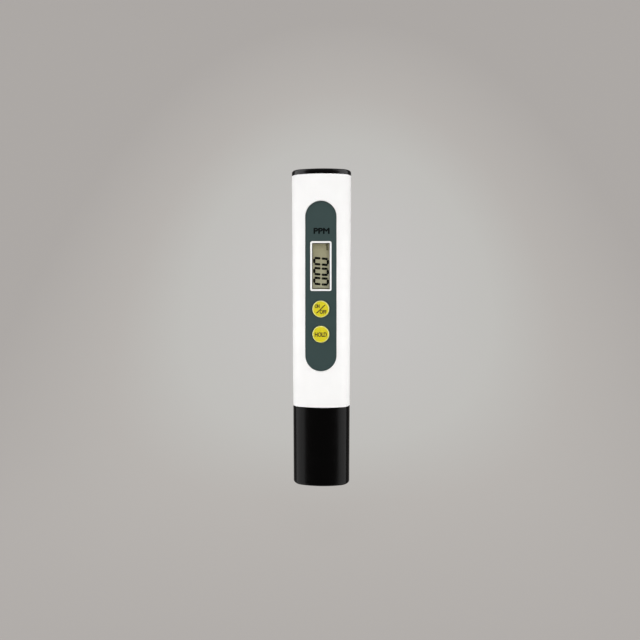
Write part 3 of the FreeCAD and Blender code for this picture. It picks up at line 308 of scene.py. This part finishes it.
# %% [markdown]
# The wet end, under the cap, is black plastic from a mould with a sparked, finely pitted face.
# The pins are drawn titanium, so their grain runs along them: the noise is drawn out along Z.
# %% Electrode holder, pins and seal
black_moulding = finish_surface(
    "black_moulding", (0.007, 0.007, 0.0075),
    roughness=0.5, grain=0.14 * mm, depth=6 * micron, gloss=0.35,
)
dress(black_moulding, "electrode_holder")
drawn_metal = finish_surface(
    "drawn_metal", (0.52, 0.51, 0.50),
    roughness=0.24, grain=0.1 * mm, depth=1.2 * micron, metallic=1.0, stretch=(1, 1, 0.06),
)
dress(drawn_metal, "left_electrode", "right_electrode")
seal_rubber = finish_surface(
    "seal_rubber", (0.018, 0.018, 0.018),
    roughness=0.7, grain=0.1 * mm, depth=4 * micron,
)
dress(seal_rubber, "holder_seal")
bead_resin = finish_surface(
    "bead_resin", (0.015, 0.014, 0.013),
    roughness=0.2, grain=0.6 * mm, depth=4 * micron,
)
dress(bead_resin, "thermistor", "controller_blob")

# %% [markdown]
# Button cells and contacts are bright nickel. Strip and sheet that were rolled have fine scratches
# that run one way, so on the contacts and the switch covers the noise is drawn out that way.
# %% Cells and spring contacts
cell_nickel = finish_surface(
    "cell_nickel", (0.74, 0.73, 0.71),
    roughness=0.22, grain=0.1 * mm, depth=1 * micron, metallic=1.0,
)
dress(cell_nickel, "upper_cell_can", "lower_cell_can")
lid_nickel = finish_surface(
    "lid_nickel", (0.70, 0.69, 0.66),
    roughness=0.3, grain=0.08 * mm, depth=1.4 * micron, metallic=1.0,
)
dress(lid_nickel, "upper_cell_minus_lid", "lower_cell_minus_lid")
cell_ring = finish_surface(
    "cell_ring", (0.05, 0.05, 0.06),
    roughness=0.5, grain=0.2 * mm, depth=2 * micron,
)
dress(cell_ring, "upper_cell_gasket", "lower_cell_gasket")
spring_strip = finish_surface(
    "spring_strip", (0.72, 0.68, 0.58),
    roughness=0.28, grain=0.12 * mm, depth=1 * micron, metallic=1.0, stretch=(1, 1, 0.1),
)
dress(spring_strip, "positive_contact", "negative_contact", "series_link")
switch_steel = finish_surface(
    "switch_steel", (0.66, 0.66, 0.65),
    roughness=0.35, grain=0.1 * mm, depth=1.2 * micron, metallic=1.0, stretch=(0.1, 1, 1),
)
dress(switch_steel, "on_off_switch_cover", "hold_switch_cover")

# %% [markdown]
# The board is glass cloth under green lacquer. Thin copper runs show through as paler bands,
# which a brick pattern gives with long bricks and thin joints.
# %% Circuit board
def finish_board(lacquer, copper):
    finish = finish_surface(
        "board_lacquer", lacquer,
        roughness=0.3, grain=0.3 * mm, depth=3 * micron,
    )
    nodes, links = finish.node_tree.nodes, finish.node_tree.links
    place = nodes.new("ShaderNodeTexCoord")
    turn = nodes.new("ShaderNodeMapping")
    turn.inputs["Rotation"].default_value = (math.radians(90), 0, 0)
    runs = nodes.new("ShaderNodeTexBrick")
    runs.inputs["Color1"].default_value = (*lacquer, 1)
    runs.inputs["Color2"].default_value = (*shaded(lacquer, 0.9), 1)
    runs.inputs["Mortar"].default_value = (*copper, 1)
    runs.inputs["Scale"].default_value = 260
    runs.inputs["Mortar Size"].default_value = 0.03
    runs.inputs["Brick Width"].default_value = 1.1
    runs.inputs["Row Height"].default_value = 0.4
    links.new(place.outputs["Object"], turn.inputs["Vector"])
    links.new(turn.outputs["Vector"], runs.inputs["Vector"])
    links.new(runs.outputs["Color"], nodes["Principled BSDF"].inputs["Base Color"])
    return finish


board_lacquer = finish_board((0.012, 0.11, 0.04), (0.06, 0.22, 0.08))
dress(board_lacquer, "circuit_board")

# %% [markdown]
# The small things on the board are dull moulded or fired pieces, each in its usual colour.
# %% Chips, switches, trimmer and leads
chip_black = finish_surface(
    "chip_black", (0.02, 0.02, 0.022),
    roughness=0.55, grain=0.08 * mm, depth=4 * micron,
)
dress(chip_black, "amplifier_chip", "on_off_switch_base", "hold_switch_base")
dress(chip_black, "on_off_switch_plunger", "hold_switch_plunger")
resistor_film = finish_surface(
    "resistor_film", (0.03, 0.03, 0.035),
    roughness=0.3, grain=0.1 * mm, depth=2 * micron,
)
dress(resistor_film, "chip_resistors")
capacitor_tan = finish_surface(
    "capacitor_tan", (0.42, 0.29, 0.16),
    roughness=0.5, grain=0.1 * mm, depth=2 * micron,
)
dress(capacitor_tan, "chip_capacitors")
trimmer_blue = finish_surface(
    "trimmer_blue", (0.03, 0.10, 0.42),
    roughness=0.4, grain=0.2 * mm, depth=2 * micron,
)
dress(trimmer_blue, "trimmer_base")
rotor_brass = finish_surface(
    "rotor_brass", (0.72, 0.56, 0.27),
    roughness=0.3, grain=0.1 * mm, depth=1 * micron, metallic=1.0,
)
dress(rotor_brass, "trimmer_rotor")
carrier_white = finish_surface(
    "carrier_white", (0.80, 0.80, 0.78),
    roughness=0.5, grain=0.2 * mm, depth=2 * micron,
)
dress(carrier_white, "display_carrier")
foil = finish_surface(
    "foil", (0.66, 0.66, 0.62),
    roughness=0.35, grain=0.2 * mm, depth=2 * micron, metallic=1.0,
)
dress(foil, "lcd_reflector")
lead_red = finish_surface(
    "lead_red", (0.42, 0.015, 0.015),
    roughness=0.45, grain=0.3 * mm, depth=2 * micron,
)
dress(lead_red, "left_electrode_lead")
lead_black = finish_surface(
    "lead_black", (0.015, 0.015, 0.015),
    roughness=0.45, grain=0.3 * mm, depth=2 * micron,
)
dress(lead_black, "right_electrode_lead")
lead_yellow = finish_surface(
    "lead_yellow", (0.55, 0.40, 0.04),
    roughness=0.45, grain=0.3 * mm, depth=2 * micron,
)
dress(lead_yellow, "thermistor_leads")

# %% [markdown]
# The rubber connectors are layer on layer of conducting and insulating silicone. A wave pattern
# along the bar gives the stripes.
# %% Striped rubber
def finish_stripes(dark, pale):
    finish = finish_surface(
        "striped_rubber", pale,
        roughness=0.6, grain=0.2 * mm, depth=3 * micron,
    )
    nodes, links = finish.node_tree.nodes, finish.node_tree.links
    bands = nodes.new("ShaderNodeTexWave")
    bands.bands_direction = "Z"
    bands.inputs["Scale"].default_value = 700
    links.new(nodes.new("ShaderNodeTexCoord").outputs["Object"], bands.inputs["Vector"])
    ramp_colour(finish, bands.outputs["Fac"], ((0.45, dark), (0.55, pale)))
    return finish


striped_rubber = finish_stripes((0.015, 0.015, 0.015), (0.55, 0.22, 0.25))
dress(striped_rubber, "left_rubber_connector", "right_rubber_connector")

# %% [markdown]
# Lettering is ink a hundredth of a millimetre thick. It is set as text, turned to a mesh, and
# only then moved to its place, so that its own origin stays at the pen's. Bold letters are laid
# eight times, each a little off in its own direction, as if drawn with a wider pen. Every lay is
# a hair thinner than the one before, so that no two faces share a plane.
# %% Print a word on a face
print_thick = 0.01 * mm
bold_lays, thinner_by = 8, 1 / 40


def make_piece(name, mesh, ink, body):
    """Turns a finished mesh into a piece that rides on a body."""
    data = bpy.data.meshes.new(name)
    mesh.to_mesh(data)
    mesh.free()
    data.materials.append(ink)
    piece = bpy.data.objects.new(name, data)
    bpy.context.scene.collection.objects.link(piece)
    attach(piece, body)
    return piece


def set_word(name, word):
    """The bare letters as a mesh, one unit tall and wide or so, and its two corners."""
    letters = bpy.data.curves.new(name, "FONT")
    letters.body = word
    letters.extrude = 0.1
    draft = bpy.data.objects.new(name, letters)
    bpy.context.scene.collection.objects.link(draft)
    bpy.context.view_layer.update()
    graph = bpy.context.evaluated_depsgraph_get()
    mesh = bpy.data.meshes.new_from_object(draft.evaluated_get(graph))
    bpy.data.objects.remove(draft)
    low = Vector(min(v.co[axis] for v in mesh.vertices) for axis in range(3))
    high = Vector(max(v.co[axis] for v in mesh.vertices) for axis in range(3))
    return mesh, low, high


def print_word(name, word, size, centre, ink, body, bold=0.0, turned=0.0):
    """Prints a word on a face that looks along -Y.

    size is wide and tall, and centre is across, forward and up.
    """
    bare, low, high = set_word(name, word)
    bare_wide, bare_tall, bare_deep = high - low
    wide, tall = size[0] - 2 * bold, size[1] - 2 * bold
    x, forward, up = centre
    stand = Matrix.Translation((x, -forward, up)) @ Matrix.Rotation(math.radians(90), 4, "X")
    lays = bold_lays if bold else 1
    mesh = bmesh.new()
    for lay in range(lays):
        angle = math.radians(360 * lay / lays)
        depth = print_thick * (1 - lay * thinner_by)
        fit = Matrix.Diagonal((wide / bare_wide, tall / bare_tall, depth / bare_deep, 1))
        shift = Matrix.Translation((bold * math.cos(angle), bold * math.sin(angle), depth / 2))
        place = stand @ Matrix.Rotation(math.radians(turned), 4, "Z") @ shift @ fit
        laid = bare.copy()
        laid.transform(place @ Matrix.Translation(-(low + high) / 2))
        mesh.from_mesh(laid)
        bpy.data.meshes.remove(laid)
    bpy.data.meshes.remove(bare)
    return make_piece(name, mesh, ink, body)


panel_ink = finish_surface(
    "panel_ink", (0.0016, 0.0026, 0.0028),
    roughness=0.5, grain=0.1 * mm, depth=1 * micron, gloss=0.06,
)
title_size = (7.6 * mm, 2.9 * mm)
title_place = (0.32 * mm, -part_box("face_panel")[0].y, 120.56 * mm)
title = print_word(
    "panel_title", "PPM", title_size, title_place, panel_ink, "pen",
    bold=0.17 * mm,
)
print("panel title is", [round(n / mm, 2) for n in title.dimensions], "mm")

# %% [markdown]
# Marks that are not letters are bars: a thin box whose upright edges are bevelled, which turns
# its blunt ends into points. The stroke between ON and OFF is one such bar, and the display's
# digits are many.
# %% Lay a bar
def spot(x, forward, up, turned=0.0):
    """Where a bar lies on a face that looks along -Y; turned is in degrees."""
    middle = Matrix.Translation((x, -forward - print_thick / 2, up))
    return middle @ Matrix.Rotation(math.radians(turned), 4, "Y")


def add_bar(mesh, length, width, place, point=0.3):
    """A bar along X, as thick as a print, put in its place."""
    verts = bmesh.ops.create_cube(mesh, size=1)["verts"]
    bmesh.ops.scale(mesh, vec=(length, print_thick, width), verts=verts)
    edges = {edge for vert in verts for edge in vert.link_edges}
    upright = [e for e in edges if abs(e.verts[0].co.y - e.verts[1].co.y) > print_thick / 2]
    bevelled = bmesh.ops.bevel(
        mesh, geom=upright, offset=width * point, segments=1, profile=0.5, affect="EDGES",
        material=-1,
    )
    faces = set(bevelled["faces"])
    faces |= {near for face in faces for edge in face.edges for near in edge.link_faces}
    bmesh.ops.recalc_face_normals(mesh, faces=list(faces))
    verts = {vert for face in faces for vert in face.verts}
    bmesh.ops.transform(mesh, matrix=place, verts=list(verts))


print("helpers ready: spot, add_bar")

# %% [markdown]
# The legends on the keys are a dark brown ink. ON and OFF stand either side of a slanting stroke.
# %% Print the key legends
key_ink = finish_surface(
    "key_ink", (0.075, 0.050, 0.003),
    roughness=0.45, grain=0.1 * mm, depth=1 * micron,
)


def key_middle(name):
    """How high a key's middle is, and how far forward its face."""
    low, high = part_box(name)
    return (low.z + high.z) / 2, -low.y


upper_z, _ = key_middle("on_off_button")
lower_z, key_face = key_middle("hold_button")
off_middle = 1.35 * mm  # ON stands this far above the key's middle, OFF below it
on_place = (-1.7 * mm, key_face, upper_z + off_middle)
off_place = (1.1 * mm, key_face, upper_z - off_middle)
hold_place = (0, key_face, lower_z - 0.1 * mm)
legends = (
    ("legend_on", "ON", (2.4 * mm, 1.8 * mm), on_place, "on_off_key"),
    ("legend_off", "OFF", (3.2 * mm, 1.9 * mm), off_place, "on_off_key"),
    ("legend_hold", "HOLD", (5.7 * mm, 2.2 * mm), hold_place, "hold_key"),
)
for name, word, size, place, body in legends:
    print_word(name, word, size, place, key_ink, body, bold=0.1 * mm)
stroke_mesh = bmesh.new()
add_bar(stroke_mesh, 5.7 * mm, 0.5 * mm, spot(0, key_face, upper_z, -44))
make_piece("legend_stroke", stroke_mesh, key_ink, "on_off_key")
print(len(legends), "words and a stroke printed")

# %% [markdown]
# Each digit of the display is six bars. The digits lie on their side, so that the pen is read
# held level, and they lean a little, as display digits do.
# %% Show three noughts
def lay_nought(mesh, forward, up, lean=-0.0875, bar=1.1 * mm):
    """One nought on its side: two pairs of long bars, and a short bar at each end."""
    long_bar, long_x, long_z = 2.9 * mm, 1.7 * mm, 1.43 * mm
    short_bar, short_x = 2.1 * mm, 3.22 * mm
    turned = -math.degrees(math.atan(lean))
    for x in (-long_x, long_x):
        for z in (-long_z, long_z):
            add_bar(mesh, long_bar, bar, spot(x, forward, up + z + lean * x, turned))
    for x in (-short_x, short_x):
        add_bar(mesh, short_bar, bar, spot(x, forward, up + lean * x, 90))


segment_ink = finish_surface(
    "segment_ink", (0.002, 0.002, 0.001),
    roughness=0.5, grain=0.1 * mm, depth=1 * micron, gloss=0.06,
)
unit_ink = finish_surface(
    "unit_ink", (0.05, 0.04, 0.01),
    roughness=0.5, grain=0.1 * mm, depth=1 * micron, gloss=0.2,
)
glass_low, glass_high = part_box("lcd_front_glass")
glass_front = -glass_low.y
display_up = (glass_low.z + glass_high.z) / 2
digit_heights = (2.27 * mm, -2.50 * mm, -7.14 * mm)
digits_mesh = bmesh.new()
for height in digit_heights:
    lay_nought(digits_mesh, glass_front, display_up + height)
digits = make_piece("display_digits", digits_mesh, segment_ink, "pen")
unit_size = (3.0 * mm, 1.0 * mm)
unit_place = (3.0 * mm, glass_front, display_up + 9.1 * mm)
print_word(
    "display_unit", "ppm", unit_size, unit_place, unit_ink, "pen",
    bold=0.06 * mm, turned=90,
)
print("digits have", len(digits.data.polygons), "faces")

# %% [markdown]
# A thin dark line of painted shade runs round the window's edge: it stands for the shade where the
# white rim meets the glass, and covers the edge of the liquid crystal glass. Half of the line's
# width lies under the white rim.
# %% Paint the shade round the window's edge
def add_border(mesh, wide, tall, line, forward, up, blunt=0.05):
    """Four bars round an opening, on a face that looks along -Y."""
    for side in (-1, 1):
        upright = spot(side * wide / 2, forward, up, 90)
        add_bar(mesh, tall + line, line, upright, blunt)
        level = spot(0, forward, up + side * tall / 2)
        add_bar(mesh, wide - line, line, level, blunt)


# A dark colour laid round the window as painted shade.
painted_shade_ink = finish_surface(
    "painted_shade_ink", (0.05, 0.042, 0.025),
    roughness=0.5, grain=0.1 * mm, depth=1 * micron, gloss=0.2,
)
lens_low, lens_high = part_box("display_lens")
lens_up = (lens_low.z + lens_high.z) / 2
border_mesh = bmesh.new()
add_border(
    border_mesh, wide=8.4 * mm, tall=21.85 * mm, line=0.66 * mm, forward=-lens_low.y, up=lens_up
)
# The four bars are painted shade where the rim meets the glass.
border = make_piece("window_border", border_mesh, painted_shade_ink, "pen")
print("window border is", [round(n / mm, 2) for n in border.dimensions], "mm")

# %% [markdown]
# Two soft boxes stand to the left and right, well round to the sides, with a third above the
# camera. They light the white tube almost evenly. Nothing bright stands behind the camera, so the
# middle of the cap stays black. A fourth lights the pen's back. It gives plain light and no
# shine, so that no bright line runs round the pen's outline.
# %% Light the studio
def hang_soft_box(name, azimuth, elevation, away, width, height, power, aim=75 * mm):
    """An area lamp that looks at the upright axis at the height aim, half the pen's own."""
    lamp = bpy.data.lights.new(name, "AREA")
    lamp.shape, lamp.size, lamp.size_y, lamp.energy = "RECTANGLE", width, height, power
    stand = bpy.data.objects.new(name, lamp)
    turn, lift = math.radians(azimuth), math.radians(elevation)
    middle = Vector((0, 0, aim))
    stand.location = middle + away * Vector(
        (math.sin(turn) * math.cos(lift), -math.cos(turn) * math.cos(lift), math.sin(lift))
    )
    stand.rotation_euler = (middle - stand.location).to_track_quat("-Z", "Y").to_euler()
    stand.visible_camera = False
    bpy.context.scene.collection.objects.link(stand)
    return stand


soft_boxes = [
    hang_soft_box("left_soft_box", -66, 0, away=0.33, width=0.24, height=0.15, power=0.79),
    hang_soft_box("right_soft_box", 60, 0, away=0.33, width=0.24, height=0.15, power=0.76),
    hang_soft_box("top_soft_box", 0, 50, away=0.70, width=0.50, height=0.40, power=1.9),
]
back_box = hang_soft_box(
    "back_soft_box", 180, 10, away=0.33, width=0.24, height=0.15, power=0.6
)
back_box.visible_glossy = False
back_box.light_linking.receiver_collection = bpy.data.collections.new("pen_parts")
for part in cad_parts.values():
    back_box.light_linking.receiver_collection.objects.link(part)
world = bpy.data.worlds.new("studio_air")
world.use_nodes = True
world.node_tree.nodes["Background"].inputs["Color"].default_value = (1, 1, 1, 1)
world.node_tree.nodes["Background"].inputs["Strength"].default_value = 0.2
bpy.context.scene.world = world
print(len(soft_boxes), "soft boxes in front and one behind")

# %% [markdown]
# Black plastic shows its shape only by what it mirrors. Upright strips of light stand close
# beside the pen, and light linking lets each pair shine on one black part alone, where it draws
# two long soft bands. They give shine and no plain light. Everything else is lit by the soft
# boxes.
# %% Stand strips that shine on the black parts
strip_sides = (("left", -62), ("right", 61))
strip_away, strip_width = 33 * mm, 29 * mm


def stand_strips(part, foot, head, radiance):
    """Two strips that only one part mirrors; radiance is how bright they look."""
    receivers = bpy.data.collections.new(part + "_shine")
    receivers.objects.link(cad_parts[part])
    tall, middle = head - foot, (foot + head) / 2
    power = radiance * math.pi * strip_width * tall
    for side, azimuth in strip_sides:
        strip = hang_soft_box(
            part + "_" + side, azimuth, 0, strip_away, strip_width, tall, power, middle
        )
        strip.visible_diffuse = False
        strip.light_linking.receiver_collection = receivers
    print("strips for", part, "from", round(foot / mm), "to", round(head / mm), "mm")


strip_joint = 100 * mm
stand_strips("protective_cap", foot=-cap_room, head=strip_joint, radiance=5.9)
stand_strips("battery_drawer", foot=strip_joint, head=2 * strip_joint, radiance=14)

# %% [markdown]
# The cove's colour finishes the studio: warm grey, with a pool of light painted on it, palest
# behind the pen and darker outwards. The painted pool is an egg-shaped region in space: a Mapping
# node moves and squeezes the position, its length says how far out a point is, and a ramp turns
# that into a colour. What the camera and shiny things see is mostly that painted colour itself, so
# the lamps leave no hot spots on the paper, and the rest is plain matt paper, which takes the
# pen's shadow.
# %% Paint a pool of light on the studio cove
# Tones of the painted pool of light, from its middle outwards.
painted_pool_tones = (
    (0.15, (0.592, 0.579, 0.571)),
    (0.5, (0.555, 0.546, 0.524)),
    (0.7, (0.501, 0.478, 0.456)),
    (1.0, (0.442, 0.419, 0.402)),
)


def add_up(finish, first, second):
    """The sum of two factors, at most 1."""
    nodes, links = finish.node_tree.nodes, finish.node_tree.links
    both = nodes.new("ShaderNodeMath")
    both.operation, both.use_clamp = "ADD", True
    links.new(first, both.inputs[0])
    links.new(second, both.inputs[1])
    return both.outputs[0]


def finish_cove(pool, squeeze, rim, seen):
    """Paper with a painted pool of light: the pool's middle, how it is squeezed, and its inner
    rim.
    """
    finish = start_finish("studio_paper", (0.45, 0.44, 0.43), 0.9, gloss=0.1)
    nodes, links = finish.node_tree.nodes, finish.node_tree.links
    place = nodes.new("ShaderNodeTexCoord")
    egg = nodes.new("ShaderNodeMapping")
    egg.inputs["Scale"].default_value = squeeze
    egg.inputs["Location"].default_value = [-middle * by for middle, by in zip(pool, squeeze)]
    far = nodes.new("ShaderNodeVectorMath")
    far.operation = "LENGTH"
    spread = nodes.new("ShaderNodeMapRange")
    spread.inputs["From Min"].default_value = rim
    spread.inputs["From Max"].default_value = rim + 1
    links.new(place.outputs["Object"], egg.inputs["Vector"])
    links.new(egg.outputs["Vector"], far.inputs[0])
    links.new(far.outputs["Value"], spread.inputs["Value"])
    # The ramp gives the painted pool of light, palest in its middle.
    painted_pool_colour = ramp_colour(finish, spread.outputs["Result"], painted_pool_tones)
    glow = nodes.new("ShaderNodeEmission")
    links.new(painted_pool_colour, glow.inputs["Color"])
    ray = nodes.new("ShaderNodeLightPath").outputs
    either = add_up(finish, ray["Is Camera Ray"], ray["Is Glossy Ray"])
    share = nodes.new("ShaderNodeMath")
    share.operation = "MULTIPLY"
    share.inputs[1].default_value = seen
    links.new(add_up(finish, either, ray["Is Transmission Ray"]), share.inputs[0])
    blend = nodes.new("ShaderNodeMixShader")
    links.new(share.outputs[0], blend.inputs["Fac"])
    links.new(nodes["Principled BSDF"].outputs["BSDF"], blend.inputs[1])
    links.new(glow.outputs["Emission"], blend.inputs[2])
    links.new(blend.outputs["Shader"], nodes["Material Output"].inputs["Surface"])
    return finish


studio_paper = finish_cove(
    pool=(0, 0.357, 0.22), squeeze=(3.766, 2.65, 3.343), rim=0.458, seen=0.9
)
studio_cove.data.materials.append(studio_paper)
print("cove finish:", studio_paper.name)
